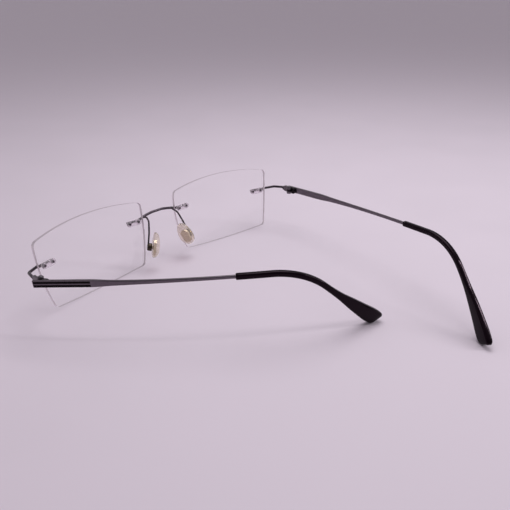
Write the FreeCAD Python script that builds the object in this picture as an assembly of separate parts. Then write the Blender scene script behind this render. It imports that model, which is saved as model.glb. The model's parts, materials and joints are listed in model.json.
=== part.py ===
import FreeCAD, Part
import math
import os

# Rimless eyeglasses, in millimetres.  +Z is up, the wearer looks along -Y, +X is the
# wearer's left.  The origin is under the crown of the bridge wire.
# Each side is made once, on the left, and mirrored; the left temple is then turned in.

V = FreeCAD.Vector

# ---- lenses (a is outward, b is up, from each lens's own centre)
lens_gap = 18.1             # between the two lenses, at the nose
lens_thickness = 1.6
lens_curve_radius = 120.0   # base curve
lens_wrap = 7.0             # degrees, outer edge towards the ear
lens_tilt = 9.05            # degrees, top edge forward
lens_centre_behind = 2.4    # centre of each lens behind the bridge crown
lens_centre_below = 7.88    # and below it
lens_inner_reach = 26.7     # centre to the upper corner at the nose
lens_outer_reach = 28.1     # centre to the upper corner at the temple
lens_rise = 17.5            # centre to the crown of the top edge
lens_drop = 16.4            # centre to the lowest point of the bottom edge
lens_top_corner_fall = 3.1  # upper corners below the crown
lens_bottom_corner_rise = 1.5
lens_inner_taper = 3.7      # lower corner in from the upper one
lens_outer_taper = 3.2
lens_inner_bow = 1.7        # how far each side swells past a straight line
lens_outer_bow = 0.9
lens_corner_radius = 2.2

# ---- lens mounts: a wire bar in front, two pins through clear sleeves
wire_radius = 0.6
chord_turn = 24.0           # degrees, least bend for each mitred joint of a wire
most_trim = 0.45            # share of a straight run that one bend may take
wire_sides = 16             # flats round each wire, pin and sleeve
cut_overrun = 1.0           # how far a hole or slot is cut past the face it opens on
pin_radius = 0.5
pin_pitch = 4.4
bar_overrun = 0.6           # bar past the pin farther from the lens edge
mount_edge_distance = 2.4   # lens edge to the nearer pin
outer_mount_height = 3.9    # above the lens centre
inner_mount_height = 6.0
bar_standoff = 0.12         # bar clear of the lens's front
sleeve_wall = 0.42
sleeve_fit = 0.02           # pin in sleeve, and sleeve in lens
pin_tail = 0.05             # pin end behind the flange
flange_radius = 1.35
flange_thickness = 0.6
flange_seat = 0.06          # the lens curves this much under a flat flange

# ---- bridge
bridge_radius = 0.6
bridge_crown_width = 6.0    # flat middle of the arch
bridge_shoulder_width = 13.2
bridge_shoulder_fall = 0.75
bridge_knee_width = 16.8    # between the two knees beside the lenses
bridge_knee_fall = 1.5
bar_lead = 0.9              # straight bar before the pin nearer the lens edge
bridge_bend = 1.2           # radius of each bend in the bridge

# ---- nose pads
pad_arm_radius = 0.4
pad_arm_loop_width = 14.8   # between the arms' loops behind the knees
pad_arm_loop_depth = 2.0    # loops behind the bridge wire
pad_arm_back = 5.0          # where each arm turns down
pad_arm_lean_in = 3.2       # arms nearer the nose than their pads, where they turn
pad_arm_root_bend = 1.2     # where the arm leaves the bridge
pad_arm_bend = 2.4
pad_span = 21.0             # between the two pad boxes
pad_behind = 8.9            # pad boxes behind the bridge crown
pad_below = 12.5            # and below the origin
pad_lean = 20.0             # degrees, tops closer together than the feet
pad_slope = 12.0            # degrees, feet behind the tops
pad_splay = 25.0            # degrees, rear edges apart
pad_width = 7.6
pad_sides = 28
pad_top_length = 7.0        # above the screw
pad_foot_length = 4.8       # below the screw
pad_thickness = 3.0
pad_swell = [(0.0, 0.88), (0.25, 1.0), (0.6, 0.94), (0.85, 0.75), (1.0, 0.42)]  # share of depth, of size
pad_box_width = 2.6
pad_box_height = 3.0
pad_box_depth = 2.0
pad_box_wall = 0.45
pad_tab_clearance = 0.12
pad_tab_height = 1.4        # also the eye round the screw
pad_back_gap = 0.55         # pad behind its box, so that it can rock
pad_core_width = 3.6
pad_core_height = 6.4
pad_core_corner = 1.1
pad_core_thickness = 0.7
pad_core_depth = 0.55       # core plate under the pad's back
pad_screw_radius = 0.4
pad_screw_head = 0.2        # screw standing out of each side of its box
running_fit = 0.03          # radial, on every pivot
seated_fit = 0.01           # radial, where a screw stands still
moulded_fit = 0.02          # pad moulded round its core

# ---- end pieces and hinges
hinge_outboard = 5.3        # hinge axis outside the lens edge
hinge_behind = 21.9         # hinge axis behind the bridge crown
hinge_below = 2.0
corner_ahead = 10.7         # outer corner of the end piece ahead of the hinge axis
corner_inboard = 0.1
corner_drop = 0.7
corner_bend = 3.0
leaf_lead = 0.7             # straight end of the wire, in line with the leaf
edge_bend = 1.5             # round the lens edge
edge_bend_inset = 0.3       # inside that edge
knuckle_radius = 1.2
hinge_height = 3.5
temple_knuckle = 1.2        # length of the middle knuckle
hinge_end_play = 0.05
hinge_screw_radius = 0.5
hinge_head_radius = 0.8
hinge_head = 0.35
screw_slot = 0.28
leaf_gap = 0.2              # leaves clear of the other half's knuckle
leaf_shoulder = 0.7         # share of each leaf that keeps its full height
front_leaf_offset = 0.8     # middle of the leaf outboard of the hinge axis
front_leaf_length = 4.9
front_leaf_height = 2.9
front_leaf_end_height = 1.5
front_leaf_thickness = 0.9
temple_leaf_length = 3.4
temple_leaf_height = 3.0
temple_leaf_end_height = 2.2
temple_leaf_thickness = 1.1

# ---- temples (distances run along the temple from the hinge axis)
open_toe_in = 3.73          # degrees, temple fully open
left_rest_fold = 34.9       # degrees, left temple as it lies at rest
temple_offset = 1.99        # plate centre outboard of the hinge axis
temple_rise = 4.12          # degrees
plate_front = 2.2           # plate ahead of the hinge axis
plate_end = 20.5
plate_height_front = 2.95
plate_height_end = 2.85
plate_thickness = 1.1
temple_bow = 5.77           # inward curve, from the plate to the ear bend
temple_bow_power = 1.75
bend_start = 86.1
bend_radius = 25.5
bend_angle = 47.5
drop_length = 29.2          # straight end behind the ear
tip_turn_in = 9.3
tip_start = 73.2
tip_shoulder = 0.05         # wire's shoulder short of the tip's mouth
tip_slant = 23.0            # degrees, end of the tip cut back towards its lower corner
tip_slant_length = 15.0     # the slant grows over this much of the end
tip_twist = -6.5            # degrees, from the middle of the ear bend to the end
tip_bend_runs = 4           # straight runs round the ear bend, outside and in the core
core_bend_runs = 2
core_width = 0.9
core_reach = 11.0           # core wire past the ear bend
tip_mouth = 2.35            # height and width where the wire goes in
# rows of taper and paddle: distance behind the plate or before the tip's end, height, width
taper = [(8.0, 2.28, 1.1), (19.0, 1.76, 1.1), (31.0, 1.4, 1.1), (43.0, 1.22, 1.15)]
paddle = [(21, 2.9, 2.4), (15, 4.4, 2.4), (9, 5.6, 2.35), (4.5, 6.6, 2.3), (1.3, 6.6, 1.95), (0, 5.2, 1.2)]
paddle_roundness = 0.8      # corner radius, as a share of half the smaller side
wire_roundness = 0.92
corner_chords = 3
plate_roundness = 0.25
core_fit = 0.04

# ---- enamel stripes in the plates
stripe_height = 0.9
stripe_spacing = 1.35
stripe_drop = 0.1           # the pair lies this much below the plate's middle
stripe_depth = 0.3
stripe_recess = 0.03
stripe_margin = 0.3

os.makedirs("parts", exist_ok=True)


# ---------------------------------------------------------------- geometry helpers
def unit(v):
    return v / v.Length


def frame_at(origin, x_axis, y_axis):
    """Placement whose X and Y axes are the two given perpendicular directions."""
    z_axis = x_axis.cross(y_axis)
    turn = FreeCAD.Rotation(x_axis, y_axis, z_axis, "XYZ")
    return FreeCAD.Placement(origin, turn)


def placed(shape, placement):
    copy = shape.copy()
    copy.transformShape(placement.toMatrix())
    return copy


def turned(shape, centre, axis, degrees):
    copy = shape.copy()
    copy.rotate(centre, axis, degrees)
    return copy


def mirrored(shape):
    return shape.mirror(V(0, 0, 0), V(1, 0, 0))


def joined(shapes):
    return shapes[0].fuse(shapes[1:]).removeSplitter()


def box(x, y, z):
    """Block from (low, high) pairs."""
    low = V(x[0], y[0], z[0])
    return Part.makeBox(x[1] - x[0], y[1] - y[0], z[1] - z[0], low)


def ruled(sections):
    """Solid through closed outlines, straight from each to the next."""
    return Part.makeLoft(sections, True, True)


def faceted(rings):
    """Solid of flat faces through rings of points, each a scaled copy of the last."""
    faces = [Part.Face(Part.makePolygon(r + r[:1])) for r in (rings[0], rings[-1])]
    for low, high in zip(rings, rings[1:]):
        for n in range(len(low)):
            corners = [low[n - 1], low[n], high[n], high[n - 1]]
            faces.append(Part.Face(Part.makePolygon(corners + corners[:1])))
    return Part.makeSolid(Part.makeShell(faces))


def rod(radius, start, end):
    return Part.makeCylinder(radius, (end - start).Length, start, end - start)


def bent_route(points, bends):
    """Corner points, each replaced by the chords of a bend of the given radius."""
    route = [points[0]]
    for i, bend in enumerate(bends):
        here = points[i + 1]
        back = unit(points[i] - here)
        on = unit(points[i + 2] - here)
        turn = math.pi - back.getAngle(on)
        chords = int(turn / math.radians(chord_turn))
        if chords == 0:
            route.append(here)
            continue
        room = most_trim * min((points[i] - here).Length, (points[i + 2] - here).Length)
        trim = min(bend * math.tan(turn / 2), room)
        start = here + back * trim
        centre = here + unit(back + on) * (trim / math.sin(turn / 2))
        axis = back.cross(on) * -1
        for n in range(chords + 1):
            swing = FreeCAD.Rotation(axis, math.degrees(turn) * n / chords)
            route.append(centre + swing.multVec(start - centre))
    return route + [points[-1]]


def ring(radius, centre, direction):
    """Closed outline of wire_sides flats, square to the direction."""
    direction = unit(direction)
    steep = abs(direction.z) > math.hypot(direction.x, direction.y)
    side = unit(direction.cross(V(0, 1, 0) if steep else V(0, 0, 1)))
    up = side.cross(direction)
    points = []
    for n in range(wire_sides):
        angle = 2 * math.pi * (n + 0.5) / wire_sides
        points.append(centre + side * (radius * math.cos(angle)) + up * (radius * math.sin(angle)))
    return Part.makePolygon(points + points[:1])


def pin(radius, start, end):
    """Straight length of the many-sided bar that stands for round wire."""
    return Part.Face(ring(radius, start, end - start)).extrude(end - start)


def bent_wire(radius, points, bends):
    """Wire swept along a bent route, in short straight runs with mitred joints."""
    route = bent_route(points, bends)
    outline = ring(radius, route[0], route[1] - route[0])
    mitred = 1
    return Part.makePolygon(route).makePipeShell([outline], True, False, mitred)


def rounded_section(centre, side, up, width, height, corner):
    """Closed outline: a rectangle whose corners are rounded in a few chords."""
    x, y = width / 2 - corner, height / 2 - corner
    points = []
    for quarter, (sx, sy) in enumerate([(1, 1), (-1, 1), (-1, -1), (1, -1)]):
        for n in range(corner_chords + 1):
            angle = math.pi / 2 * (quarter + n / corner_chords)
            across = sx * x + corner * math.cos(angle)
            points.append(centre + side * across + up * (sy * y + corner * math.sin(angle)))
    return Part.makePolygon(points + points[:1])


# ---------------------------------------------------------------- lenses
lens_outer_top = (lens_outer_reach, lens_rise - lens_top_corner_fall)
lens_inner_top = (-lens_inner_reach, lens_rise - lens_top_corner_fall)
lens_outer_foot = (lens_outer_reach - lens_outer_taper, lens_bottom_corner_rise - lens_drop)
lens_inner_foot = (lens_inner_taper - lens_inner_reach, lens_bottom_corner_rise - lens_drop)


def lens_side_at(height, top, foot, bow):
    """Where a lens side lies at a height above the lens centre."""
    share = (height - foot[1]) / (top[1] - foot[1])
    return foot[0] + share * (top[0] - foot[0]) + 4 * bow * share * (1 - share)


def lens_frame():
    """The left lens's own frame: X outward, Y to the rear, Z up the lens."""
    wrap = FreeCAD.Rotation(V(0, 0, 1), lens_wrap)
    tilt = FreeCAD.Rotation(V(1, 0, 0), lens_tilt)
    half_width = lens_inner_reach + 0.5 * lens_inner_bow
    centre_x = lens_gap / 2 + half_width * math.cos(math.radians(lens_wrap))
    centre = V(centre_x, lens_centre_behind, -lens_centre_below)
    return FreeCAD.Placement(centre, wrap.multiply(tilt))


def lens_surface_frame(out, height):
    """Frame on the lens's middle surface, square to it, X outward and Y to the rear."""
    sag = lens_curve_radius - math.sqrt(lens_curve_radius**2 - out**2 - height**2)
    rear = unit(V(-out, lens_curve_radius - sag, -height))
    across = unit(V(1, 0, 0) - rear * rear.x)
    return lens_frame().multiply(frame_at(V(out, sag, height), across, rear))


outer_edge = lens_side_at(outer_mount_height, lens_outer_top, lens_outer_foot, lens_outer_bow)
inner_edge = lens_side_at(inner_mount_height, lens_inner_top, lens_inner_foot, -lens_inner_bow)
mount_inset = mount_edge_distance + pin_pitch / 2
outer_mount = lens_surface_frame(outer_edge - mount_inset, outer_mount_height)
inner_mount = lens_surface_frame(inner_edge + mount_inset, inner_mount_height)
sleeve_radius = pin_radius + sleeve_fit + sleeve_wall


def lens_outline():
    """The lens as a straight-sided blank, its four corners rounded."""
    crown = V(0, 0, lens_rise)
    bottom = V(0, 0, -lens_drop)
    mid = (lens_outer_top[1] + lens_outer_foot[1]) / 2
    outer = V(lens_side_at(mid, lens_outer_top, lens_outer_foot, lens_outer_bow), 0, mid)
    inner = V(lens_side_at(mid, lens_inner_top, lens_inner_foot, -lens_inner_bow), 0, mid)
    it, ot, of, nf = (
        V(p[0], 0, p[1]) for p in (lens_inner_top, lens_outer_top, lens_outer_foot, lens_inner_foot)
    )
    sides = [Part.Arc(it, crown, ot), Part.Arc(ot, outer, of)]
    sides += [Part.Arc(of, bottom, nf), Part.Arc(nf, inner, it)]
    face = Part.Face(Part.Wire([s.toShape() for s in sides]))
    depth = lens_outer_reach / 2
    face.translate(V(0, -depth, 0))
    blank = face.extrude(V(0, 2 * depth, 0))
    corners = [e for e in blank.Edges if e.BoundBox.YLength > depth]
    return blank.makeFillet(lens_corner_radius, corners)


def make_lens():
    centre = V(0, lens_curve_radius, 0)
    front = Part.makeSphere(lens_curve_radius + lens_thickness / 2, centre)
    rear = Part.makeSphere(lens_curve_radius - lens_thickness / 2, centre)
    lens = placed(front.cut(rear).common(lens_outline()), lens_frame())
    reach = V(0, lens_thickness + cut_overrun, 0)
    hole = sleeve_radius + sleeve_fit
    for mount in (outer_mount, inner_mount):
        for side in (-1, 1):
            at = V(side * pin_pitch / 2, 0, 0)
            lens = lens.cut(placed(pin(hole, at - reach, at + reach), mount))
    return lens


# ---------------------------------------------------------------- lens mounts
lens_back = lens_thickness / 2
flange_from = lens_back + flange_seat
flange_to = flange_from + flange_thickness
bar_level = -(lens_back + bar_standoff + wire_radius)
bridge_bar_level = -(lens_back + bar_standoff + bridge_radius)
pin_places = (-pin_pitch / 2, pin_pitch / 2)


def make_sleeves(mount):
    """Clear double sleeve: two tubes through the lens, joined by a flange behind it."""
    body = [box(pin_places, (flange_from, flange_to), (-flange_radius, flange_radius))]
    for x in pin_places:
        body.append(pin(flange_radius, V(x, flange_from, 0), V(x, flange_to, 0)))
        body.append(pin(sleeve_radius, V(x, -lens_back, 0), V(x, flange_to, 0)))
    sleeves = joined(body)
    bore = pin_radius + sleeve_fit
    for x in pin_places:
        hole = pin(bore, V(x, -lens_back - cut_overrun, 0), V(x, flange_to + cut_overrun, 0))
        sleeves = sleeves.cut(hole)
    return placed(sleeves, mount)


def mount_pins(level, mount):
    """The two pins of a mount, from the middle of its bar to behind the lens."""
    end = flange_to + pin_tail
    return [placed(pin(pin_radius, V(x, level, 0), V(x, end, 0)), mount) for x in pin_places]


def bar_end(level, mount, away):
    """End of a mount's bar, just past the pin farther from the lens edge."""
    return mount.multVec(V(away * (pin_pitch / 2 + bar_overrun), level, 0))


# ---------------------------------------------------------------- bridge and pad arms
def bridge_half():
    """Points from the crown outward to the end of the left lens's inner mount."""
    top = bridge_radius
    crown = V(bridge_crown_width / 2, 0, top)
    shoulder = V(bridge_shoulder_width / 2, 0, top - bridge_shoulder_fall)
    knee = V(bridge_knee_width / 2, pad_arm_radius / 2, top - bridge_knee_fall)
    bar_start = inner_mount.multVec(V(-pin_pitch / 2 - bar_lead, bridge_bar_level, 0))
    return [crown, shoulder, knee, bar_start, bar_end(bridge_bar_level, inner_mount, 1)]


def make_bridge():
    left = bridge_half()
    route = left[::-1] + [V(-p.x, p.y, p.z) for p in left]
    wire = bent_wire(bridge_radius, route, [bridge_bend] * (len(route) - 2))
    pins = mount_pins(bridge_bar_level, inner_mount)
    return joined([wire] + pins + [mirrored(p) for p in pins])


def pad_frame():
    """Left pad's frame at its screw: X faces the nose, Y is the rocking axis, Z up the pad."""
    lean = math.radians(pad_lean)
    slope = math.radians(pad_slope)
    up = unit(V(-math.sin(lean), -math.sin(slope), math.cos(lean)))
    splay = math.radians(pad_splay)
    facing = V(-math.cos(splay), math.sin(splay), 0)
    facing = unit(facing - up * facing.dot(up))
    return frame_at(V(pad_span / 2, pad_behind, -pad_below), facing, up.cross(facing))


pad_slot = pad_box_width / 2 - pad_box_wall         # half the room between the box's walls
pad_tab = pad_slot - pad_tab_clearance              # half the tab's thickness
pad_screw_back = pad_box_depth - pad_box_wall - pad_tab_height / 2 - pad_tab_clearance


def pad_block():
    """Outside of the pad box, in the pad's frame."""
    w, h = pad_box_width / 2, pad_box_height / 2
    return box((-pad_box_depth, 0), (-w, w), (-h, h))


def pad_cross_rod(radius, reach):
    """Rod along the pad's rocking axis."""
    return rod(radius, V(-pad_screw_back, -reach, 0), V(-pad_screw_back, reach, 0))


def make_pad_arm(bridge):
    """Thin wire from the bridge's knee, back and down to the top of the pad box."""
    root = bridge_half()[2] + V(bridge_radius, 0, 0)
    box_top = pad_frame().multVec(V(pad_arm_radius - pad_box_depth, 0, pad_box_height / 2))
    loop = V(pad_arm_loop_width / 2, pad_arm_loop_depth, root.z + pad_arm_radius)
    turn = V(box_top.x - pad_arm_lean_in, pad_arm_back, loop.z - 2 * pad_arm_radius)
    fall = (turn + box_top) / 2 + V(0, pad_arm_radius, 0)
    foot = box_top + unit(box_top - fall) * pad_arm_radius
    bends = [pad_arm_root_bend, pad_arm_bend, pad_arm_bend]
    wire = bent_wire(pad_arm_radius, [root, loop, turn, fall, foot], bends)
    return wire.cut(bridge).cut(placed(pad_block(), pad_frame()))


def make_pad_box():
    """Open cup that holds the pad's tab between two walls, with a screw hole."""
    tall = pad_box_height / 2 + cut_overrun
    room = box((pad_box_wall - pad_box_depth, cut_overrun), (-pad_slot, pad_slot), (-tall, tall))
    hole = pad_cross_rod(pad_screw_radius + seated_fit, pad_box_width / 2 + cut_overrun)
    return placed(pad_block().cut(room).cut(hole), pad_frame())


def make_pad_screw():
    screw = pad_cross_rod(pad_screw_radius, pad_box_width / 2 + pad_screw_head)
    return placed(screw, pad_frame())


def egg(depth, share):
    """Pad outline at a depth from the box, longer above the screw than below."""
    points = []
    for n in range(pad_sides):
        angle = 2 * math.pi * n / pad_sides
        reach = pad_top_length if math.cos(angle) > 0 else pad_foot_length
        y = share * pad_width / 2 * math.sin(angle)
        points.append(V(depth, y, share * reach * math.cos(angle)))
    return points


def pad_core_solid(grow):
    """Plate and tab that the pad is moulded round; grow widens it all over."""
    back = pad_back_gap + pad_core_depth
    y, z, c = pad_core_width / 2 + grow, pad_core_height / 2 + grow, pad_core_corner
    outline = [(y - c, z), (y, z - c), (y, c - z), (y - c, -z)]
    outline += [(-a, b) for a, b in reversed(outline)]
    points = [V(back - grow, a, b) for a, b in outline]
    plate = Part.Face(Part.makePolygon(points + points[:1]))
    plate = plate.extrude(V(pad_core_thickness + 2 * grow, 0, 0))
    thick, tall = pad_tab + grow, pad_tab_height / 2 + grow
    tab = box((-pad_screw_back, back + grow), (-thick, thick), (-tall, tall))
    return joined([plate, tab])


def make_pad():
    pad = faceted([egg(pad_back_gap + depth * pad_thickness, size) for depth, size in pad_swell])
    return placed(pad.cut(pad_core_solid(moulded_fit)), pad_frame())


def make_pad_core():
    core = joined([pad_core_solid(0), pad_cross_rod(pad_tab_height / 2, pad_tab)])
    hole = pad_cross_rod(pad_screw_radius + running_fit, pad_tab + cut_overrun)
    return placed(core.cut(hole), pad_frame())


# ---------------------------------------------------------------- end pieces and hinges
outer_edge_point = outer_mount.multVec(V(mount_inset, 0, 0))
hinge_axis = V(outer_edge_point.x + hinge_outboard, hinge_behind, -hinge_below)


def make_end_piece():
    """Wire from the lens mount, out round the lens edge and back to the hinge leaf."""
    start = bar_end(bar_level, outer_mount, -1)
    edge = outer_mount.multVec(V(mount_inset - edge_bend_inset, bar_level, 0))
    corner = hinge_axis - V(corner_inboard, corner_ahead, corner_drop)
    leaf = hinge_axis + V(front_leaf_offset, -front_leaf_length, 0)
    route = [start, edge, corner, leaf - V(0, leaf_lead, 0), leaf]
    wire = bent_wire(wire_radius, route, [edge_bend, corner_bend, corner_bend])
    return joined([wire] + mount_pins(bar_level, outer_mount))


def upright_rod(radius, low, high):
    """Rod on the hinge axis."""
    return rod(radius, V(0, 0, low), V(0, 0, high))


def leaf_profile(near, far, height, end_height, inner, thickness):
    """Flat hinge leaf: full height near the axis, narrowing to its far end."""
    shoulder = near + leaf_shoulder * (far - near)
    outline = [(near, height / 2), (shoulder, height / 2), (far, end_height / 2)]
    outline += [(y, -z) for y, z in reversed(outline)]
    points = [V(inner, y, z) for y, z in outline]
    face = Part.Face(Part.makePolygon(points + points[:1]))
    return face.extrude(V(thickness, 0, 0))


def make_front_hinge():
    """Leaf with the upper and lower knuckles, in the hinge's own frame."""
    inner = front_leaf_offset - front_leaf_thickness / 2
    leaf = leaf_profile(
        0, -front_leaf_length, front_leaf_height, front_leaf_end_height, inner, front_leaf_thickness
    )
    half = hinge_height / 2
    gap = temple_knuckle / 2 + hinge_end_play
    barrel = joined([leaf, upright_rod(knuckle_radius, -half, half)])
    barrel = barrel.cut(upright_rod(knuckle_radius + leaf_gap, -gap, gap))
    hole = upright_rod(hinge_screw_radius + seated_fit, -half - cut_overrun, half + cut_overrun)
    return barrel.cut(hole)


def make_hinge_screw():
    low = hinge_height / 2
    high = low + hinge_head
    screw = joined([upright_rod(hinge_screw_radius, -low, low), upright_rod(hinge_head_radius, low, high)])
    slot = box(
        (-hinge_head_radius, hinge_head_radius),
        (-screw_slot / 2, screw_slot / 2),
        (high - hinge_head / 2, high + cut_overrun),
    )
    return screw.cut(slot)


def make_temple_hinge():
    """Middle knuckle and the leaf brazed to the plate, in the temple's frame."""
    half = temple_knuckle / 2
    plate_face = temple_offset - plate_thickness / 2
    root = knuckle_radius + leaf_gap
    web = box((0, plate_face), (0, root + leaf_gap), (-half, half))
    inner = plate_face - temple_leaf_thickness
    leaf = leaf_profile(
        root, temple_leaf_length, temple_leaf_height, temple_leaf_end_height, inner, temple_leaf_thickness
    )
    bore = upright_rod(hinge_screw_radius + running_fit, -half - cut_overrun, half + cut_overrun)
    return joined([upright_rod(knuckle_radius, -half, half), web, leaf]).cut(bore)


# ---------------------------------------------------------------- temples
rise = math.radians(temple_rise)
bend_length = bend_radius * math.radians(bend_angle)
temple_length = bend_start + bend_length + drop_length
core_end = bend_start + bend_length + core_reach


def side_view(along):
    """Distance back and height of the temple's centre, seen from the side."""
    straight = min(along, bend_start)
    back = straight * math.cos(rise)
    up = straight * math.sin(rise)
    turn = max(0, min(along - bend_start, bend_length)) / bend_radius
    back += bend_radius * (math.sin(turn - rise) + math.sin(rise))
    up += bend_radius * (math.cos(turn - rise) - math.cos(rise))
    drop = max(0, along - bend_start - bend_length)
    return back + drop * math.cos(rise - turn), up + drop * math.sin(rise - turn)


def temple_centre(along):
    """Centre line in the temple's frame: X outboard, Y back, Z up."""
    back, up = side_view(along)
    plate_back, _ = side_view(plate_end)
    bend_back, _ = side_view(bend_start)
    end_back, _ = side_view(temple_length)
    bow = max(0, back - plate_back) / (bend_back - plate_back)
    turn_in = max(0, back - bend_back) / (end_back - bend_back)
    out = temple_offset - temple_bow * bow**temple_bow_power - tip_turn_in * turn_in**2
    return V(out, back, up)


def section_axes(along, slant=0):
    """Centre, side and up of a cross-section, twisted behind the ear, its top slanted back."""
    step = 0.1
    centre = temple_centre(along)
    direction = unit(temple_centre(along + step) - temple_centre(along - step))
    side = unit(direction.cross(V(0, 0, 1)))
    up = side.cross(direction)
    half_way = bend_start + bend_length / 2
    twist = math.radians(tip_twist) * max(0, along - half_way) / (temple_length - half_way)
    side, up = side * math.cos(twist) + up * math.sin(twist), up * math.cos(twist) - side * math.sin(twist)
    lean = math.radians(slant)
    return centre, side, up * math.cos(lean) + direction * math.sin(lean)


def temple_section(along, height, width, roundness, slant=0):
    centre, side, up = section_axes(along, slant)
    return rounded_section(centre, side, up, width, height, roundness * min(height, width) / 2)


def square_section(along, size):
    centre, side, up = section_axes(along)
    half = size / 2
    corners = [centre + side * (a * half) + up * (b * half) for a, b in ((1, 1), (-1, 1), (-1, -1), (1, -1))]
    return Part.makePolygon(corners + corners[:1])


def round_the_ear(runs):
    """Distances along the temple of a number of equal runs through the ear bend."""
    return [bend_start + bend_length * n / runs for n in range(runs + 1)]


def core_solid(start, size, end):
    """Square wire inside the tip, following the ear bend."""
    return ruled([square_section(s, size) for s in [start] + round_the_ear(core_bend_runs) + [end]])


def make_temple():
    """Flat plate, tapering wire and the core inside the tip, as one piece of metal."""
    plate = (plate_height_end, plate_thickness, plate_roundness)
    outline = [temple_section(-plate_front, plate_height_front, plate_thickness, plate_roundness)]
    outline.append(temple_section(plate_end, *plate))
    for behind, height, width in taper:
        outline.append(temple_section(plate_end + behind, height, width, wire_roundness))
    shoulder = tip_start - tip_shoulder
    outline.append(temple_section(shoulder, 2 * wire_radius, 2 * wire_radius, wire_roundness))
    body = ruled(outline).fuse(core_solid(shoulder, core_width, core_end))
    for stripe in make_stripes(0):
        body = body.cut(stripe)
    return body


def make_stripes(recess):
    """The two enamel bars in the plate's outer face; recess sinks their surface."""
    outer = temple_offset + plate_thickness / 2
    bars = []
    for sign in (-1, 1):
        z = sign * stripe_spacing / 2 - stripe_drop
        low, high = z - stripe_height / 2, z + stripe_height / 2
        x = (outer - stripe_depth, outer - recess)
        bar = box(x, (stripe_margin - plate_front, plate_end - stripe_margin), (low, high))
        bars.append(turned(bar, V(0, 0, 0), V(1, 0, 0), temple_rise))
    return bars


def make_tip():
    """Moulded ear tip over the core wire, widening to a paddle behind the ear."""
    mouth = (tip_mouth, tip_mouth, wire_roundness)
    outline = [temple_section(along, *mouth) for along in [tip_start] + round_the_ear(tip_bend_runs)]
    for before, height, width in paddle:
        slant = tip_slant * max(0, 1 - before / tip_slant_length)
        outline.append(temple_section(temple_length - before, height, width, paddle_roundness, slant))
    bore = core_solid(tip_start - cut_overrun, core_width + 2 * core_fit, core_end + core_fit)
    return ruled(outline).cut(bore)


# ---------------------------------------------------------------- whole object
def temple_placement(fold):
    """Left temple's frame on its hinge axis, folded in by an angle from open."""
    turn = FreeCAD.Rotation(V(0, 0, 1), open_toe_in + fold)
    return FreeCAD.Placement(hinge_axis, turn)


hinge_place = FreeCAD.Placement(hinge_axis, FreeCAD.Rotation())
bridge = make_bridge()
front_parts = {
    "lens": make_lens(),
    "outer_sleeves": make_sleeves(outer_mount),
    "inner_sleeves": make_sleeves(inner_mount),
    "end_piece": make_end_piece(),
    "front_hinge": placed(make_front_hinge(), hinge_place),
    "hinge_screw": placed(make_hinge_screw(), hinge_place),
    "pad_arm": make_pad_arm(bridge),
    "pad_box": make_pad_box(),
    "pad_screw": make_pad_screw(),
    "pad_core": make_pad_core(),
    "nose_pad": make_pad(),
}
temple_parts = {
    "temple": make_temple(),
    "temple_hinge": make_temple_hinge(),
    "temple_stripes": Part.makeCompound(make_stripes(stripe_recess)),
    "temple_tip": make_tip(),
}

nodes = {"bridge": bridge}
for name, shape in front_parts.items():
    nodes["left_" + name] = shape
    nodes["right_" + name] = mirrored(shape)
for name, shape in temple_parts.items():
    nodes["left_" + name] = placed(shape, temple_placement(left_rest_fold))
    nodes["right_" + name] = mirrored(placed(shape, temple_placement(0)))

for name, shape in nodes.items():
    shape.exportStep(os.path.join("parts", name + ".step"))
    print(name, "valid" if shape.isValid() else "NOT VALID", len(shape.Solids), round(shape.Volume, 2))
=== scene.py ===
import bisect
import bmesh
import bpy
import json
import math
from mathutils import Matrix, Quaternion, Vector


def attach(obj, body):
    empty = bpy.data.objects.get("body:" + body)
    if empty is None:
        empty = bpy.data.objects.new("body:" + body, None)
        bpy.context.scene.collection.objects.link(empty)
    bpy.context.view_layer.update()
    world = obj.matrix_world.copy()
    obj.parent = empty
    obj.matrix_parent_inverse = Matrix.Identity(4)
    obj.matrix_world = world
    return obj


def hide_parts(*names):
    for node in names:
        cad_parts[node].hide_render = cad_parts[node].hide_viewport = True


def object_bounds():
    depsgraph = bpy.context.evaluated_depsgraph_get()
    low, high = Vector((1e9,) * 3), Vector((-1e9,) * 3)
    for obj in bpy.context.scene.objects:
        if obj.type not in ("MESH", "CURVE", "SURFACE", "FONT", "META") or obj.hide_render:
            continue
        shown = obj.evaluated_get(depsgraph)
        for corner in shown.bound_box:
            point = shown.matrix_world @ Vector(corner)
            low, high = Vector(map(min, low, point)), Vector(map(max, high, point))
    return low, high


# Rimless eyeglasses standing open on a pale table, the left temple folded part of the way in.
# Lengths are in millimetres and angles in degrees, in the frame's own axes: +Z up, the wearer
# looks along -Y, +X is the wearer's left.  Each side is shaped once, on the left, and mirrored.

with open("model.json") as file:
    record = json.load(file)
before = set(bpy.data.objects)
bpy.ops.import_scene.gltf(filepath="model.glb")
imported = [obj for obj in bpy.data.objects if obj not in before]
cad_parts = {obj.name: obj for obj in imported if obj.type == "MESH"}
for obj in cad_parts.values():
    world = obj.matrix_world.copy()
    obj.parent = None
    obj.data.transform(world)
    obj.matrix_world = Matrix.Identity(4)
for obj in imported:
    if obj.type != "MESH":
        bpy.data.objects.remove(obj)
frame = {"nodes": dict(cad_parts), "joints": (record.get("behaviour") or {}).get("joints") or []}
cad_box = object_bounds()
nodes = frame["nodes"]
joints = {joint["name"]: joint for joint in frame["joints"]}
MM = 0.001
hinge_axis = Vector(joints["left_temple_fold"]["pos_m"]) / MM
other_side = Matrix.Scale(-1, 4, (1, 0, 0))

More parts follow.
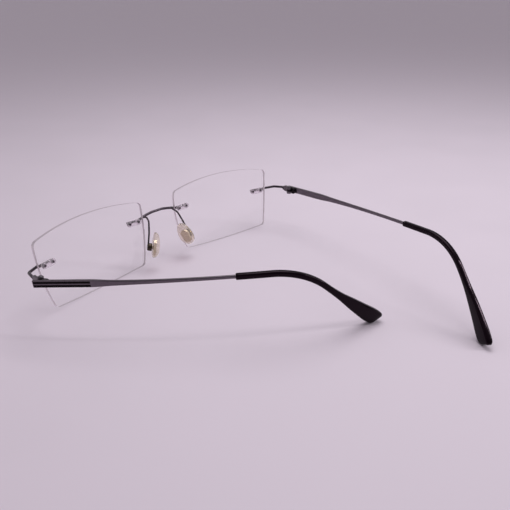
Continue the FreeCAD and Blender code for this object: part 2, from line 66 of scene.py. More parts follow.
# ---- lenses and their mounts
lens_gap = 18.1
lens_thickness = 1.6
lens_curve_radius = 120.0
lens_wrap = 7.0
lens_tilt = 9.05
lens_centre_behind = 2.4
lens_centre_below = 7.88
lens_inner_reach = 26.7
lens_outer_reach = 28.1
lens_corner_height = 14.4
lens_foot_height = -14.9
lens_inner_taper = 3.7
lens_outer_taper = 3.2
lens_inner_bow = 1.7
lens_outer_bow = 0.9
mount_edge_distance = 2.4
pin_pitch = 4.4
outer_mount_height = 3.9
inner_mount_height = 6.0
bar_standoff = 0.12
bar_overrun = 0.6
bar_lead = 0.9
pin_radius = 0.5
pin_tail = 0.05
sleeve_radius = 0.94
sleeve_sink = 0.2           # barrels run on into the flange, so that the two are one
flange_radius = 1.35
flange_seat = 0.06
# depth into the flange, and how far the outline draws in there
flange_edge = ((0.0, 0.08), (0.05, 0.0), (0.42, 0.0), (0.54, 0.06), (0.6, 0.2))
flange_thickness = flange_edge[-1][0]

# ---- wires; each end is given as depth and size, in shares of the radius
domed_end = ((0.0, 0.45), (0.06, 0.75), (0.2, 0.94), (0.45, 1.0))
cut_end = ((0.0, 0.88), (0.12, 1.0))
wire_radius = 0.6
bridge_radius = 0.6
bridge_crown_width = 6.0
bridge_shoulder_width = 13.2
bridge_crown_fall = 0.5
bridge_shoulder_fall = 1.15
bridge_knee_width = 16.8
bridge_knee_fall = 1.5
bridge_bends = (1.2, 2.0, 4.0, 9.0)     # radius at the lens edge, knee, shoulder and crown
edge_bend = 1.5
edge_bend_inset = 0.3
corner_ahead = 10.7
corner_inboard = 0.1
corner_drop = 0.7
corner_bend = 3.0
leaf_lead = 0.7
leaf_bend = 4.0
front_leaf_offset = 0.8
front_leaf_length = 4.9

# ---- nose pads
pad_arm_radius = 0.4
pad_arm_loop_width = 14.8
pad_arm_loop_depth = 2.0
pad_arm_back = 5.0
pad_arm_lean_in = 3.2
pad_arm_bends = (1.2, 2.4, 9.0)
pad_span = 21.0
pad_behind = 8.9
pad_below = 12.5
pad_lean = 20.0
pad_slope = 12.0
pad_box_depth = 2.0
pad_box_height = 3.0
# round cup, from its closed back over the lip to its floor: depth from the open side, radius
pad_cup = (
    (-2.0, 1.2), (-1.95, 1.45), (-1.75, 1.65), (-1.4, 1.75), (-0.15, 1.8), (-0.03, 1.76),
    (0.0, 1.65), (-0.05, 1.5), (-0.15, 1.45), (-0.8, 1.4),
)
pad_width = 7.6
pad_top_length = 7.0
pad_foot_length = 4.8
pad_thickness = 3.0
pad_back_gap = 0.55
# depth into the pad and size of its outline there, as shares: flat back, soft rim, crowned face
pad_swell = (
    (0.0, 0.6), (0.0, 0.86), (0.04, 0.93), (0.12, 0.98), (0.25, 1.0), (0.42, 0.98),
    (0.6, 0.92), (0.75, 0.82), (0.87, 0.68), (0.95, 0.5), (0.99, 0.3), (1.0, 0.12),
)

# ---- temples, by distance along them from the hinge axis
open_toe_in = 3.73
left_rest_fold = 34.9
temple_offset = 1.99
temple_rise = 4.12
plate_front = 2.2
plate_end = 20.5
temple_bow = 5.77
temple_bow_power = 1.75
bend_start = 86.1
bend_radius = 25.5
bend_angle = 47.5
drop_length = 29.2
tip_turn_in = 9.3
tip_start = 73.2
tip_slant = 23.0
tip_slant_length = 15.0
tip_twist = -6.5
stripe_height = 0.9
stripe_spacing = 1.35
stripe_drop = 0.1
stripe_depth = 0.3
stripe_margin = 0.3
wire_in_tip = 3.0
# how far behind the plate's front, and how far its end is rounded in there
plate_nose = ((0.0, 0.12), (0.04, 0.04), (0.14, 0.0))
# distance along the temple, height, width, corner radius as a share of half the smaller
metal = (
    (-2.2, 2.95, 1.1, 0.25), (8.0, 2.9, 1.1, 0.25), (20.5, 2.85, 1.1, 0.25), (28.5, 2.3, 1.1, 0.92),
    (39.5, 1.82, 1.1, 0.92), (51.5, 1.58, 1.1, 0.92), (63.5, 1.48, 1.15, 0.92), (73.2, 1.45, 1.2, 0.92),
)
# distance before the end of the tip, height, width
paddle = (
    (0.0, 6.6, 2.9), (1.3, 6.7, 2.9), (4.5, 6.6, 2.8), (9.0, 5.65, 2.55), (15.0, 4.4, 2.4),
    (21.0, 2.95, 2.4), (29.2, 2.35, 2.35), (50.4, 2.35, 2.35), (63.3, 2.35, 2.35),
)
paddle_roundness = 0.7
tip_mouth = ((0.0, 0.62), (0.0, 0.84), (0.1, 0.94), (0.3, 1.0))     # depth, size
tip_heel = 2.3              # the end rounds over in this length
tip_heel_drop = 2.6         # height lost there
tip_heel_thin = 0.5         # share of the thickness lost there


# ---------------------------------------------------------------- finishes
def colour(code):
    """Linear colour of an sRGB hex code."""
    parts = [int(code[n:n + 2], 16) / 255 for n in (0, 2, 4)]
    return [p / 12.92 if p <= 0.04045 else ((p + 0.055) / 1.055) ** 2.4 for p in parts] + [1.0]


def add(tree, kind, inputs=None, **settings):
    """Adds a node with its settings; each input is a value or another node's socket."""
    made = tree.nodes.new("ShaderNode" + kind)
    for name, value in settings.items():
        setattr(made, name, value)
    for name, value in (inputs or {}).items():
        if isinstance(value, bpy.types.NodeSocket):
            tree.links.new(value, made.inputs[name])
        else:
            made.inputs[name].default_value = value
    return made


def finish(name, code, **values):
    """Material with one principled shader, whose own sockets hold what is even all over."""
    material = bpy.data.materials.new(name)
    material.use_nodes = True
    tree = material.node_tree
    tree.nodes.clear()
    shader = add(tree, "BsdfPrincipled", {"Base Color": colour(code)})
    for socket, value in values.items():
        shader.inputs[socket.replace("_", " ")].default_value = value
    add(tree, "OutputMaterial", {"Surface": shader.outputs[0]})
    return material, tree, shader


def surface(tree, shader, grain, stretch=(1, 1, 1), rough=None, shades=None, relief=None):
    """Noise of the given grain in millimetres, longer along a stretched axis.  It moves the
    roughness between two values, the colour between two hex codes, and the skin by a relief
    in millimetres."""
    place = add(tree, "TexCoord").outputs["Object"]
    spread = add(tree, "Mapping", {"Vector": place, "Scale": [1 / s for s in stretch]}).outputs[0]
    noise = add(tree, "TexNoise", {"Vector": spread, "Scale": 1 / (grain * MM), "Detail": 3.0}).outputs[0]
    # nearly all of the noise lies between these two values
    even = {"Value": noise, "From Min": 0.3, "From Max": 0.7}
    if rough:
        wear_level = add(tree, "MapRange", {**even, "To Min": rough[0], "To Max": rough[1]})
        tree.links.new(wear_level.outputs[0], shader.inputs["Roughness"])
    if shades:
        share = add(tree, "MapRange", even).outputs[0]
        drift = add(tree, "Mix", {0: share, 6: colour(shades[0]), 7: colour(shades[1])}, data_type="RGBA")
        tree.links.new(drift.outputs[2], shader.inputs["Base Color"])
    if relief:
        bump = add(tree, "Bump", {"Height": noise, "Distance": relief * MM})
        tree.links.new(bump.outputs[0], shader.inputs["Normal"])


def gunmetal(name, dark, light, rough):
    """Gunmetal plating on drawn nickel silver: a soft grey mirror, blurred by fine polishing."""
    material, tree, shader = finish(name, light, Metallic=1.0)
    # polishing lines lie some 0.02 mm apart; they are drawn 0.15 mm apart so that they show
    surface(tree, shader, grain=0.15, stretch=(1, 12, 1), rough=rough, shades=(dark, light), relief=0.0015)
    return material


def turned_steel():
    """Turned steel screws: bright, with fine lathe marks round them."""
    material, tree, shader = finish("turned_steel", "8f8b90", Metallic=1.0)
    shades = ("7f7b80", "979398")
    surface(tree, shader, grain=0.1, stretch=(6, 6, 1), rough=(0.22, 0.36), shades=shades, relief=0.002)
    return material


def stoved_enamel():
    """Black stoving enamel in the plate's channels: deep gloss with a slight orange peel."""
    material, tree, shader = finish("stoved_enamel", "0a0409", IOR=1.52, Specular_IOR_Level=0.06)
    surface(tree, shader, grain=0.5, rough=(0.18, 0.3), shades=("080307", "0d060b"), relief=0.004)
    return material


def tumbled_acetate():
    """Black cellulose acetate, tumbled to a soft gloss, with faint scuffs along it."""
    # painted reflection: the specular tint colours the gloss pink like the lilac tent around
    values = {"IOR": 1.48, "Specular_IOR_Level": 0.14, "Specular_Tint": colour("ffd2f0")}
    material, tree, shader = finish("tumbled_acetate", "080307", **values)
    shades = ("060205", "0c050b")
    surface(tree, shader, grain=0.4, stretch=(1, 5, 1), rough=(0.08, 0.16), shades=shades, relief=0.006)
    return material


def let_light_through(tree, shader, shade):
    """Clear pieces dim the light that falls on what lies behind them by their own tint only."""
    light = add(tree, "LightPath").outputs
    lit = add(tree, "Math", {0: light["Is Shadow Ray"], 1: light["Is Diffuse Ray"]}, operation="MAXIMUM")
    clear = add(tree, "BsdfTransparent", {"Color": colour(shade)})
    both = add(tree, "MixShader", {0: lit.outputs[0], 1: shader.outputs[0], 2: clear.outputs[0]})
    output = next(n for n in tree.nodes if n.type == "OUTPUT_MATERIAL")
    tree.links.new(both.outputs[0], output.inputs["Surface"])


def cast_acrylic():
    """Cast acrylic lens: water clear, its two faces polished and its edge ground matt; the top and
    bottom edges are drawn darker grey as painted shade, the others faintly pink as painted light."""
    grit_size = 0.3
    material, tree, shader = finish("cast_acrylic", "ffffff", IOR=1.35)
    place = add(tree, "TexCoord")
    facing = add(tree, "SeparateXYZ", {0: place.outputs["Normal"]})
    # the faces look fore and aft; what looks sideways is the ground edge
    straight = add(tree, "Math", {0: facing.outputs["Y"]}, operation="ABSOLUTE").outputs[0]
    face = add(tree, "MapRange", {"Value": straight, "From Min": 0.6, "From Max": 0.8}).outputs[0]
    grit = add(tree, "TexNoise", {"Vector": place.outputs["Object"], "Scale": 1 / (grit_size * MM)})
    ground = add(tree, "MapRange", {"Value": grit.outputs[0], "To Min": 0.2, "To Max": 0.5}).outputs[0]
    rough = add(tree, "MapRange", {"Value": face, "To Min": ground, "To Max": 0.0}).outputs[0]
    # painted shade darkens the edges that look up and down; the others get a painted pink tint
    level = add(tree, "Math", {0: facing.outputs["Z"]}, operation="ABSOLUTE").outputs[0]
    edge_shade_share = add(tree, "MapRange", {"Value": level, "From Min": 0.3, "From Max": 0.9}).outputs[0]
    edge = add(tree, "Mix", {0: edge_shade_share, 6: colour("fff5fa"), 7: colour("b5a8b2")}, data_type="RGBA")
    tint = add(tree, "Mix", {0: face, 6: edge.outputs[2], 7: colour("ffffff")}, data_type="RGBA")
    tree.links.new(tint.outputs[2], shader.inputs["Base Color"])
    tree.links.new(rough, shader.inputs["Roughness"])
    tree.links.new(face, shader.inputs["Transmission Weight"])
    let_light_through(tree, shader, "f6f6f6")
    return material


def moulded_nylon():
    """Moulded clear nylon sleeves, their skin slightly drawn."""
    values = {"IOR": 1.25, "Transmission_Weight": 0.85}
    material, tree, shader = finish("moulded_nylon", "f6eff5", **values)
    surface(tree, shader, grain=0.6, rough=(0.12, 0.3), relief=0.005)
    let_light_through(tree, shader, "e6e2e6")
    return material


def moulded_silicone():
    """Clear silicone pads: a soft satin skin, faintly rose with use."""
    values = {"IOR": 1.3, "Transmission_Weight": 0.8}
    material, tree, shader = finish("moulded_silicone", "f4e9df", **values)
    surface(tree, shader, grain=0.5, rough=(0.12, 0.26), shades=("efe2d5", "faf3ea"), relief=0.008)
    let_light_through(tree, shader, "e2d8d8")
    return material


def stamped_brass():
    """Stamped brass inserts, thinly nickelled, so pale straw under the silicone."""
    material, tree, shader = finish("stamped_brass", "ded2bf", Metallic=1.0)
    surface(tree, shader, grain=0.8, rough=(0.42, 0.6), shades=("d0c3aa", "f0e8dc"), relief=0.01)
    return material


# one plating in several shades for how light falls on each part: grey on plates and hinge leaves,
# and painted shade darker on the wires, near black on the temples' hinges, brownish in the pad cups
wire_metal = gunmetal("gunmetal_wire", "3d353c", "50484f", (0.2, 0.34))
plate_metal = gunmetal("gunmetal_plate", "5f575e", "736b72", (0.26, 0.4))
leaf_metal = gunmetal("gunmetal_leaf", "5f595e", "736d72", (0.26, 0.42))
# painted shade: a near black copy of the plating for the hinge barrels between the parts
shaded_barrel_metal = gunmetal("barrel_gunmetal_painted_shade", "1f1b1e", "2f2a2e", (0.26, 0.4))
# painted shade: a dark brownish copy of the plating for the cups under the pads
shaded_cup_metal = gunmetal("pad_cup_gunmetal_painted_shade", "2c2624", "5b5043", (0.26, 0.4))
steel = turned_steel()
enamel = stoved_enamel()
acetate = tumbled_acetate()
acrylic = cast_acrylic()
nylon = moulded_nylon()
silicone = moulded_silicone()
brass = stamped_brass()


# ---------------------------------------------------------------- shaping
def loft(shape, rings):
    """Skin through closed rings of equally many points, with both ends closed."""
    made = [[shape.verts.new(point) for point in ring] for ring in rings]
    for low, high in zip(made, made[1:]):
        for n in range(len(low)):
            shape.faces.new((low[n - 1], low[n], high[n], high[n - 1]))
    shape.faces.new(made[0])
    shape.faces.new(made[-1])


def rounded_route(corners, bends):
    """Corner points with an arc of each bend's radius in place of the corners between."""
    degrees_a_step = 6
    most_trim = 0.48
    route = [corners[0]]
    for before, here, after, bend in zip(corners, corners[1:], corners[2:], bends):
        back = (before - here).normalized()
        on = (after - here).normalized()
        turn = math.pi - back.angle(on)
        room = most_trim * min((before - here).length, (after - here).length)
        trim = min(bend * math.tan(turn / 2), room)
        start = here + back * trim
        centre = here + (back + on).normalized() * (trim / math.sin(turn / 2))
        axis = on.cross(back)
        steps = max(2, round(math.degrees(turn) / degrees_a_step))
        for n in range(steps + 1):
            route.append(centre + Quaternion(axis, turn * n / steps) @ (start - centre))
    return route + [corners[-1]]


def tube(shape, route, radius, end=domed_end):
    """Round wire along a route, with shaped ends."""
    sides = 24
    first = (route[1] - route[0]).normalized()
    last = (route[-1] - route[-2]).normalized()
    line = [(route[0] + first * (depth * radius), share) for depth, share in end]
    line += [(point, 1.0) for point in route[1:-1]]
    line += [(route[-1] - last * (depth * radius), share) for depth, share in reversed(end)]
    heading = first
    side = first.orthogonal().normalized()
    rings = []
    for n, (point, share) in enumerate(line):
        before, after = line[max(n - 1, 0)][0], line[min(n + 1, len(line) - 1)][0]
        now = (after - before).normalized()
        side = heading.rotation_difference(now) @ side
        heading = now
        turns = [Quaternion(now, 2 * math.pi * k / sides) for k in range(sides)]
        rings.append([point + turn @ side * (radius * share) for turn in turns])
    loft(shape, rings)


def piece(name, shape, body, material, replaced, mirror=False, place=Matrix(), crease=35):
    """Makes a scene piece from a shape in millimetres in its own place.  It rides on a body, takes
    the place of the replaced nodes, and is mirrored to the right side if asked.  Edges sharper
    than crease degrees stay sharp to the eye."""
    seat = place.copy()
    seat.translation *= MM
    if mirror:
        seat = other_side @ seat @ other_side
        bmesh.ops.transform(shape, matrix=other_side, verts=shape.verts)
    bmesh.ops.recalc_face_normals(shape, faces=shape.faces)
    bmesh.ops.scale(shape, vec=(MM, MM, MM), verts=shape.verts)
    mesh = bpy.data.meshes.new(name)
    shape.to_mesh(mesh)
    shape.free()
    mesh.shade_smooth()
    mesh.set_sharp_from_angle(angle=math.radians(crease))
    mesh.materials.append(material)
    made = bpy.data.objects.new(name, mesh)
    made.matrix_world = seat
    bpy.context.scene.collection.objects.link(made)
    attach(made, body)
    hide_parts(*replaced)


def wear(node, material, edge=0.0):
    """Gives a solid of the frame its finish, and breaks its sharp edges by edge millimetres."""
    least_angle = 40
    solid = nodes[node]
    solid.data.materials.clear()
    solid.data.materials.append(material)
    if edge:
        softened = solid.modifiers.new("broken_edges", "BEVEL")
        softened.width = edge * MM
        softened.segments = 2
        softened.limit_method = "ANGLE"
        softened.angle_limit = math.radians(least_angle)
        softened.harden_normals = True


# ---------------------------------------------------------------- lens mounts and wires
def axes(origin, across, rear):
    """Matrix of a place whose X and Y directions are given."""
    up = across.cross(rear)
    return Matrix.Translation(origin) @ Matrix((across, rear, up)).transposed().to_4x4()


def side_at(height, reach, taper, bow):
    """Distance of a lens's side from its centre line at a height."""
    share = (height - lens_foot_height) / (lens_corner_height - lens_foot_height)
    return reach - taper * (1 - share) + 4 * bow * share * (1 - share)


def lens_place():
    """Place of the left lens's centre, X outward and Y to the rear, wrapped and tilted."""
    inner_half = (lens_inner_reach + lens_inner_bow / 2) * math.cos(math.radians(lens_wrap))
    centre = Vector((lens_gap / 2 + inner_half, lens_centre_behind, -lens_centre_below))
    wrap = Matrix.Rotation(math.radians(lens_wrap), 4, "Z")
    return Matrix.Translation(centre) @ wrap @ Matrix.Rotation(math.radians(lens_tilt), 4, "X")


def mount_place(out, height):
    """Place on the lens's middle surface, X outward along it and Y to the rear."""
    sag = lens_curve_radius - math.sqrt(lens_curve_radius**2 - out**2 - height**2)
    rear = Vector((-out, lens_curve_radius - sag, -height)).normalized()
    across = (Vector((1, 0, 0)) - rear * rear.x).normalized()
    return lens_place() @ axes(Vector((out, sag, height)), across, rear)


mount_inset = mount_edge_distance + pin_pitch / 2
outer_edge = side_at(outer_mount_height, lens_outer_reach, lens_outer_taper, lens_outer_bow)
inner_edge = side_at(inner_mount_height, lens_inner_reach, lens_inner_taper, lens_inner_bow)
outer_mount = mount_place(outer_edge - mount_inset, outer_mount_height)
inner_mount = mount_place(mount_inset - inner_edge, inner_mount_height)
lens_back = lens_thickness / 2
flange_from = lens_back + flange_seat
flange_to = flange_from + flange_thickness
bar_level = -(lens_back + bar_standoff + wire_radius)
bridge_bar_level = -(lens_back + bar_standoff + bridge_radius)
pin_places = (-pin_pitch / 2, pin_pitch / 2)


def across_the_lens(mount, x, front, back):
    """Straight route through the lens beside a mount's middle, from one depth to another."""
    return [mount @ Vector((x, depth, 0)) for depth in (front, back)]


def add_pins(shape, mount, level):
    """Two pins from a bar at a level in front of the lens to just behind the flange."""
    for x in pin_places:
        tube(shape, across_the_lens(mount, x, level, flange_to + pin_tail), pin_radius, cut_end)


def bridge_knee():
    """Corner where the bridge wire turns to the left lens, and where the pad arm is brazed on."""
    return Vector((bridge_knee_width / 2, pad_arm_radius / 2, bridge_radius - bridge_knee_fall))


def bridge_wire():
    """One wire: bar, knee, arch, knee, bar, with its four pins."""
    left = [
        Vector((bridge_crown_width / 2, 0, bridge_radius - bridge_crown_fall)),
        Vector((bridge_shoulder_width / 2, 0, bridge_radius - bridge_shoulder_fall)),
        bridge_knee(),
        inner_mount @ Vector((-pin_pitch / 2 - bar_lead, bridge_bar_level, 0)),
        inner_mount @ Vector((pin_pitch / 2 + bar_overrun, bridge_bar_level, 0)),
    ]
    right = [Vector((-p.x, p.y, p.z)) for p in left]
    shape = bmesh.new()
    tube(shape, rounded_route(left[::-1] + right, bridge_bends + bridge_bends[::-1]), bridge_radius)
    for mount in (inner_mount, other_side @ inner_mount):
        add_pins(shape, mount, bridge_bar_level)
    piece("bridge_wire", shape, "front", wire_metal, ["bridge"])


def end_wire(side, mirror):
    """Wire with two pins, from in front of the lens out round its edge and back to the hinge."""
    leaf = hinge_axis + Vector((front_leaf_offset, -front_leaf_length, 0))
    corners = [
        outer_mount @ Vector((-pin_pitch / 2 - bar_overrun, bar_level, 0)),
        outer_mount @ Vector((mount_inset - edge_bend_inset, bar_level, 0)),
        hinge_axis - Vector((corner_inboard, corner_ahead, corner_drop)),
        leaf - Vector((0, leaf_lead, 0)),
        leaf + Vector((0, wire_radius, 0)),
    ]
    shape = bmesh.new()
    tube(shape, rounded_route(corners, (edge_bend, corner_bend, leaf_bend)), wire_radius)
    add_pins(shape, outer_mount, bar_level)
    piece(side + "_end_wire", shape, "front", wire_metal, [side + "_end_piece"], mirror)


def stadium(radius, depth):
    """Outline round both pins of a mount, at a depth behind the lens's middle."""
    steps = 14
    ring = []
    for end, first in ((pin_pitch / 2, -90), (-pin_pitch / 2, 90)):
        for n in range(steps + 1):
            angle = math.radians(first + 180 * n / steps)
            ring.append(Vector((end + radius * math.cos(angle), depth, radius * math.sin(angle))))
    return ring


def sleeves(side, which, mount, mirror):
    """Clear double sleeve: a rounded flange behind the lens with two barrels through it."""
    shape = bmesh.new()
    outlines = [stadium(flange_radius - less, flange_from + deep) for deep, less in flange_edge]
    loft(shape, [[mount @ point for point in outline] for outline in outlines])
    for x in pin_places:
        route = across_the_lens(mount, x, -lens_back, flange_from + sleeve_sink)
        tube(shape, route, sleeve_radius, cut_end)
    name = side + "_" + which
    piece(name + "_clear_sleeves", shape, "front", nylon, [name + "_sleeves"], mirror)


# ---------------------------------------------------------------- nose pads
def pad_place():
    """Place at the pad box's open side: X to the nose, Y along the rocking axis, Z up the pad."""
    rocking = Vector(joints["left_pad_rock"]["axis"]).normalized()
    lean, slope = math.radians(pad_lean), math.radians(pad_slope)
    up = Vector((-math.sin(lean), -math.sin(slope), math.cos(lean))).normalized()
    return axes(Vector((pad_span / 2, pad_behind, -pad_below)), rocking.cross(up).normalized(), rocking)


def pad_arm(side, mirror):
    """Thin wire from the bridge's knee, back and down to the top of the pad box."""
    root = bridge_knee() + Vector((bridge_radius, 0, 0))
    box_top = pad_place() @ Vector((pad_arm_radius - pad_box_depth, 0, pad_box_height / 2))
    loop = Vector((pad_arm_loop_width / 2, pad_arm_loop_depth, root.z + pad_arm_radius))
    turn = Vector((box_top.x - pad_arm_lean_in, pad_arm_back, loop.z - 2 * pad_arm_radius))
    fall = (turn + box_top) / 2 + Vector((0, pad_arm_radius, 0))
    foot = box_top + (box_top - fall).normalized() * pad_arm_radius
    shape = bmesh.new()
    tube(shape, rounded_route([root, loop, turn, fall, foot], pad_arm_bends), pad_arm_radius)
    piece(side + "_pad_arm_wire", shape, "front", wire_metal, [side + "_pad_arm"], mirror)


def egg(depth, share):
    """Pad outline at a depth from the box, longer above the screw than below."""
    steps = 48
    ring = []
    for n in range(steps):
        angle = 2 * math.pi * n / steps
        reach = pad_top_length if math.cos(angle) > 0 else pad_foot_length
        across, up = pad_width / 2 * math.sin(angle), reach * math.cos(angle)
        ring.append(Vector((depth, share * across, share * up)))
    return ring


def pad_cup_ring(depth, radius):
    """Circle round the pad cup's middle, at a depth from its open side."""
    steps = 28
    turns = [2 * math.pi * n / steps for n in range(steps)]
    return [Vector((depth, radius * math.sin(turn), radius * math.cos(turn))) for turn in turns]


def pad_box(side, mirror):
    """Small pressed cup that holds the pad's tab."""
    place = pad_place()
    shape = bmesh.new()
    loft(shape, [[place @ point for point in pad_cup_ring(*ring)] for ring in pad_cup])
    name = side + "_pad_cup"
    piece(name, shape, "front", shaded_cup_metal, [side + "_pad_box"], mirror, crease=50)


def nose_pad(side, mirror):
    """Teardrop pad: nearly flat back with a soft rim, and a crowned face to the nose."""
    place = pad_place()
    shape = bmesh.new()
    outlines = [egg(pad_back_gap + depth * pad_thickness, size) for depth, size in pad_swell]
    loft(shape, [[place @ point for point in outline] for outline in outlines])
    name = side + "_silicone_pad"
    piece(name, shape, side + "_pad_unit", silicone, [side + "_nose_pad"], mirror, crease=60)


# ---------------------------------------------------------------- temples
rise = math.radians(temple_rise)
bend_length = bend_radius * math.radians(bend_angle)
temple_length = bend_start + bend_length + drop_length


def side_view(along):
    """Distance back and height of the temple's centre, seen from the side."""
    straight = min(along, bend_start)
    turn = max(0, min(along - bend_start, bend_length)) / bend_radius
    back = straight * math.cos(rise) + bend_radius * (math.sin(turn - rise) + math.sin(rise))
    up = straight * math.sin(rise) + bend_radius * (math.cos(turn - rise) - math.cos(rise))
    drop = max(0, along - bend_start - bend_length)
    return back + drop * math.cos(rise - turn), up + drop * math.sin(rise - turn)


def temple_centre(along):
    """Centre line in the temple's own place: X outboard, Y back, Z up."""
    back, up = side_view(along)
    plate_back, bend_back, end_back = (side_view(s)[0] for s in (plate_end, bend_start, temple_length))
    bow = max(0, back - plate_back) / (bend_back - plate_back)
    turn_in = max(0, back - bend_back) / (end_back - bend_back)
    return Vector((temple_offset - temple_bow * bow**temple_bow_power - tip_turn_in * turn_in**2, back, up))


def section_axes(along, slant=0.0):
    """Centre, side and up of a cross-section, twisted behind the ear, its top slanted back."""
    step = 0.1
    heading = (temple_centre(along + step) - temple_centre(along - step)).normalized()
    side = heading.cross(Vector((0, 0, 1))).normalized()
    up = side.cross(heading)
    half_way = bend_start + bend_length / 2
    twist = math.radians(tip_twist) * max(0, along - half_way) / (temple_length - half_way)
    side, up = side * math.cos(twist) + up * math.sin(twist), up * math.cos(twist) - side * math.sin(twist)
    lean = math.radians(slant)
    return temple_centre(along), side, up * math.cos(lean) + heading * math.sin(lean)


def eased(table, at, column):
    """Value of a column at a place, on a smooth line through the table's rows."""
    places = [row[0] for row in table]
    values = [row[column] for row in table]
    slopes = [(b - a) / (q - p) for a, b, p, q in zip(values, values[1:], places, places[1:])]
    middle = [(a + b) / 2 if a * b > 0 else 0 for a, b in zip(slopes, slopes[1:])]
    ease = [slopes[0]] + middle + [slopes[-1]]
    n = min(max(bisect.bisect(places, at) - 1, 0), len(places) - 2)
    width = places[n + 1] - places[n]
    t = min(max((at - places[n]) / width, 0), 1)
    keep = 2 * t**3 - 3 * t**2 + 1
    swing = width * ((t**3 - 2 * t**2 + t) * ease[n] + (t**3 - t**2) * ease[n + 1])
    return keep * values[n] + (1 - keep) * values[n + 1] + swing


def temple_place(fold):
    """The left temple's place, turned in about its hinge from fully open."""
    turn = Matrix.Rotation(math.radians(open_toe_in + fold), 4, "Z")
    return Matrix.Translation(hinge_axis) @ turn


def half_width(up, width, height, corner):
    """Half the thickness of a rounded bar at a height above its middle."""
    past = max(0.0, abs(up) - (height / 2 - corner))
    return width / 2 - corner + math.sqrt(max(0.0, corner**2 - past**2))


def side_levels():
    """Levels down a temple's side, as shares of half its height, and which lie in a channel."""
    steps = 24
    hair = 0.002
    half = eased(metal, plate_end, 1) / 2
    levels = [(math.cos(math.pi * n / steps), False) for n in range(steps + 1)]
    for sign in (1, -1):
        middle = sign * stripe_spacing / 2 - stripe_drop
        top, bottom = (middle + s * stripe_height / 2 for s in (1, -1))
        levels = [(level, sunk or bottom < level * half < top) for level, sunk in levels]
        levels += [(top / half, True), (bottom / half, True)]
        levels += [(top / half + hair, False), (bottom / half - hair, False)]
    return sorted(levels, reverse=True)


def metal_ring(along, groove=0.0, inset=0.0):
    """Cross-section of plate or wire; groove sinks the two enamel channels in its outer side."""
    height = eased(metal, along, 1) - 2 * inset
    width = eased(metal, along, 2) - 2 * inset
    corner = eased(metal, along, 3) * min(width, height) / 2
    centre, side, up = section_axes(along)
    outer, inner = [], []
    for share, sunk in side_levels():
        z = share * height / 2
        out = half_width(z, width, height, corner)
        outer.append(centre + side * (out - groove * sunk) + up * z)
        inner.append(centre - side * out + up * z)
    return outer + inner[::-1]


def temple_metal(side, fold, mirror):
    """Plate with its two channels, then the wire that tapers into the tip."""
    front = -plate_front
    channel = (front + stripe_margin, plate_end - stripe_margin)
    hair = 0.01
    # distance along, depth of the channels, how far the end is rounded in
    stations = [(front + behind, 0.0, inset) for behind, inset in plate_nose]
    stations += [(channel[0], 0.0, 0.0), (channel[0] + hair, stripe_depth, 0.0)]
    channel_steps = 8
    stations += [(n * channel[1] / channel_steps, stripe_depth, 0.0) for n in range(channel_steps)]
    stations += [(channel[1], stripe_depth, 0.0), (channel[1] + hair, 0.0, 0.0)]
    steps = 48
    wire_length = tip_start + wire_in_tip - plate_end
    stations += [(plate_end + wire_length * n / steps, 0.0, 0.0) for n in range(steps + 1)]
    shape = bmesh.new()
    loft(shape, [metal_ring(*station) for station in stations])
    name = side + "_temple_metal"
    replaced = [side + "_temple"]
    piece(name, shape, side + "_side", plate_metal, replaced, mirror, temple_place(fold), 28)


def tip_ring(along, size, close):
    """Cross-section of the tip.  Size scales it at the mouth; close goes to 0 at the very end."""
    before = temple_length - along
    height = eased(paddle, before, 1) * size - tip_heel_drop * (1 - close)
    width = eased(paddle, before, 2) * size * (1 - tip_heel_thin * (1 - close))
    corner = paddle_roundness * min(height, width) / 2
    centre, side, up = section_axes(along, tip_slant * max(0, 1 - before / tip_slant_length))
    steps = 8
    ring = []
    for quarter, (sx, sy) in enumerate([(1, 1), (-1, 1), (-1, -1), (1, -1)]):
        for n in range(steps + 1):
            angle = math.pi / 2 * (quarter + n / steps)
            x = sx * (width / 2 - corner) + corner * math.cos(angle)
            y = sy * (height / 2 - corner) + corner * math.sin(angle)
            ring.append(centre + side * x + up * y)
    return ring


def ear_tip(side, fold, mirror):
    """Moulded tip: round mouth, smooth ear bend and a flat paddle with a rounded end."""
    rings = [tip_ring(tip_start + depth, size, 1.0) for depth, size in tip_mouth]
    begun = tip_start + tip_mouth[-1][0]
    heel_start = temple_length - tip_heel
    steps = 60
    for n in range(1, steps + 1):
        rings.append(tip_ring(begun + (heel_start - begun) * n / steps, 1.0, 1.0))
    heel_steps = 9
    for n in range(1, heel_steps + 1):
        angle = math.pi / 2 * n / heel_steps
        rings.append(tip_ring(heel_start + tip_heel * math.sin(angle), 1.0, math.cos(angle)))
    place = temple_place(fold)
    shape = bmesh.new()
    loft(shape, [[place @ point for point in ring] for ring in rings])
    name = side + "_acetate_tip"
    piece(name, shape, side + "_side", acetate, [side + "_temple_tip"], mirror, crease=50)


# ---------------------------------------------------------------- the glasses
hinge_edge = 0.1
screw_edge = 0.05
enamel_edge = 0.06
core_edge = 0.1
bridge_wire()
for side, mirror, fold in (("left", False, left_rest_fold), ("right", True, 0.0)):
    end_wire(side, mirror)
    sleeves(side, "outer", outer_mount, mirror)
    sleeves(side, "inner", inner_mount, mirror)
    pad_arm(side, mirror)
    pad_box(side, mirror)
    nose_pad(side, mirror)
    temple_metal(side, fold, mirror)
    ear_tip(side, fold, mirror)
    wear(side + "_lens", acrylic)
    wear(side + "_front_hinge", leaf_metal, hinge_edge)
    wear(side + "_hinge_screw", steel, screw_edge)
    wear(side + "_temple_hinge", shaded_barrel_metal, hinge_edge)
    wear(side + "_temple_stripes", enamel, enamel_edge)
    wear(side + "_pad_screw", steel, screw_edge)
    wear(side + "_pad_core", brass, core_edge)


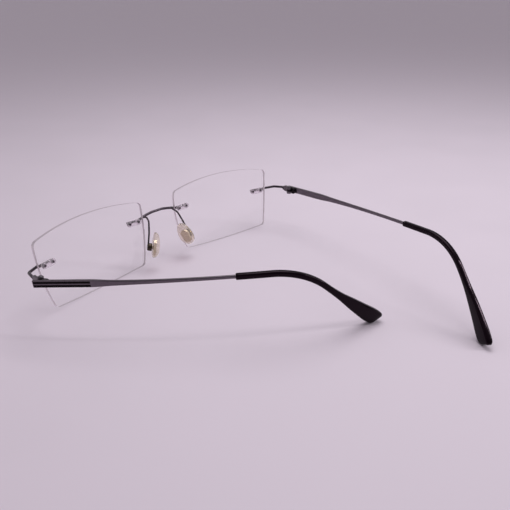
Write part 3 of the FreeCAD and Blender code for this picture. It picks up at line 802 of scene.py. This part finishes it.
# ---------------------------------------------------------------- table, light and camera
def table_top():
    """Matt pale lilac board, wide enough to have no edge in sight."""
    material, tree, shader = finish("matt_lilac_board", "d8ccd8")
    surface(tree, shader, grain=40.0, rough=(0.6, 0.8), shades=("d7cbd7", "d9cdd9"))
    reach = 6000 * MM
    hair = 0.02 * MM
    level = cad_box[0].z - hair
    shape = bmesh.new()
    corners = ((-reach, -reach), (reach, -reach), (reach, reach), (-reach, reach))
    shape.faces.new([shape.verts.new((x, y, level)) for x, y in corners])
    mesh = bpy.data.meshes.new("table_top")
    shape.to_mesh(mesh)
    shape.free()
    mesh.materials.append(material)
    made = bpy.data.objects.new("table_top", mesh)
    bpy.context.scene.collection.objects.link(made)


def soft_box(name, at, aim, width, height, power):
    """Flat lamp whose shadows have soft edges.  Places and sizes are in metres, power in watts."""
    lamp = bpy.data.lights.new(name, "AREA")
    lamp.shape = "RECTANGLE"
    lamp.size = width
    lamp.size_y = height
    lamp.energy = power
    made = bpy.data.objects.new(name, lamp)
    bpy.context.scene.collection.objects.link(made)
    made.location = at
    made.rotation_euler = (Vector(aim) - Vector(at)).to_track_quat("-Z", "Y").to_euler()


def camera():
    """Above and behind the wearer's left ear, looking down at the front."""
    place = (0.143273, 0.209354, 0.101874)
    heading, pitch, roll = 135.089, 63.307, -0.097
    optics = bpy.data.cameras.new("camera")
    optics.lens = 40.23
    optics.sensor_width = 36.0
    made = bpy.data.objects.new("camera", optics)
    bpy.context.scene.collection.objects.link(made)
    turn = Matrix.Identity(4)
    for degrees, axis in ((heading, "Z"), (pitch, "X"), (roll, "Z")):
        turn = turn @ Matrix.Rotation(math.radians(degrees), 4, axis)
    made.location = place
    made.rotation_euler = turn.to_euler()
    bpy.context.scene.camera = made


def white_tent():
    """Pale walls all round, dimmer where the tent is open behind the wearer's left shoulder."""
    open_way = (0.7, 0.7, 0.0)
    lit, dim = 0.54, 0.2
    world = bpy.data.worlds.new("white_tent")
    world.use_nodes = True
    tree = world.node_tree
    tree.nodes.clear()
    heading = add(tree, "TexCoord").outputs["Generated"]
    toward = add(tree, "VectorMath", {0: heading, 1: open_way}, operation="DOT_PRODUCT").outputs["Value"]
    glow = {"Value": toward, "From Min": 0.1, "From Max": 0.8, "To Min": lit, "To Max": dim}
    strength = add(tree, "MapRange", glow).outputs[0]
    walls = add(tree, "Background", {"Color": colour("f2edf3"), "Strength": strength})
    add(tree, "OutputWorld", {"Surface": walls.outputs[0]})
    bpy.context.scene.world = world


table_top()
white_tent()
soft_box("overhead", at=(-0.12, 0.02, 0.4), aim=(0, 0.06, -0.02), width=0.3, height=0.3, power=0.98)
soft_box("rear_strip", at=(-0.4, 0.5, 0.35), aim=(-0.05, 0.12, 0), width=0.03, height=0.35, power=1.0)
camera()
bpy.context.scene.view_settings.view_transform = "Standard"
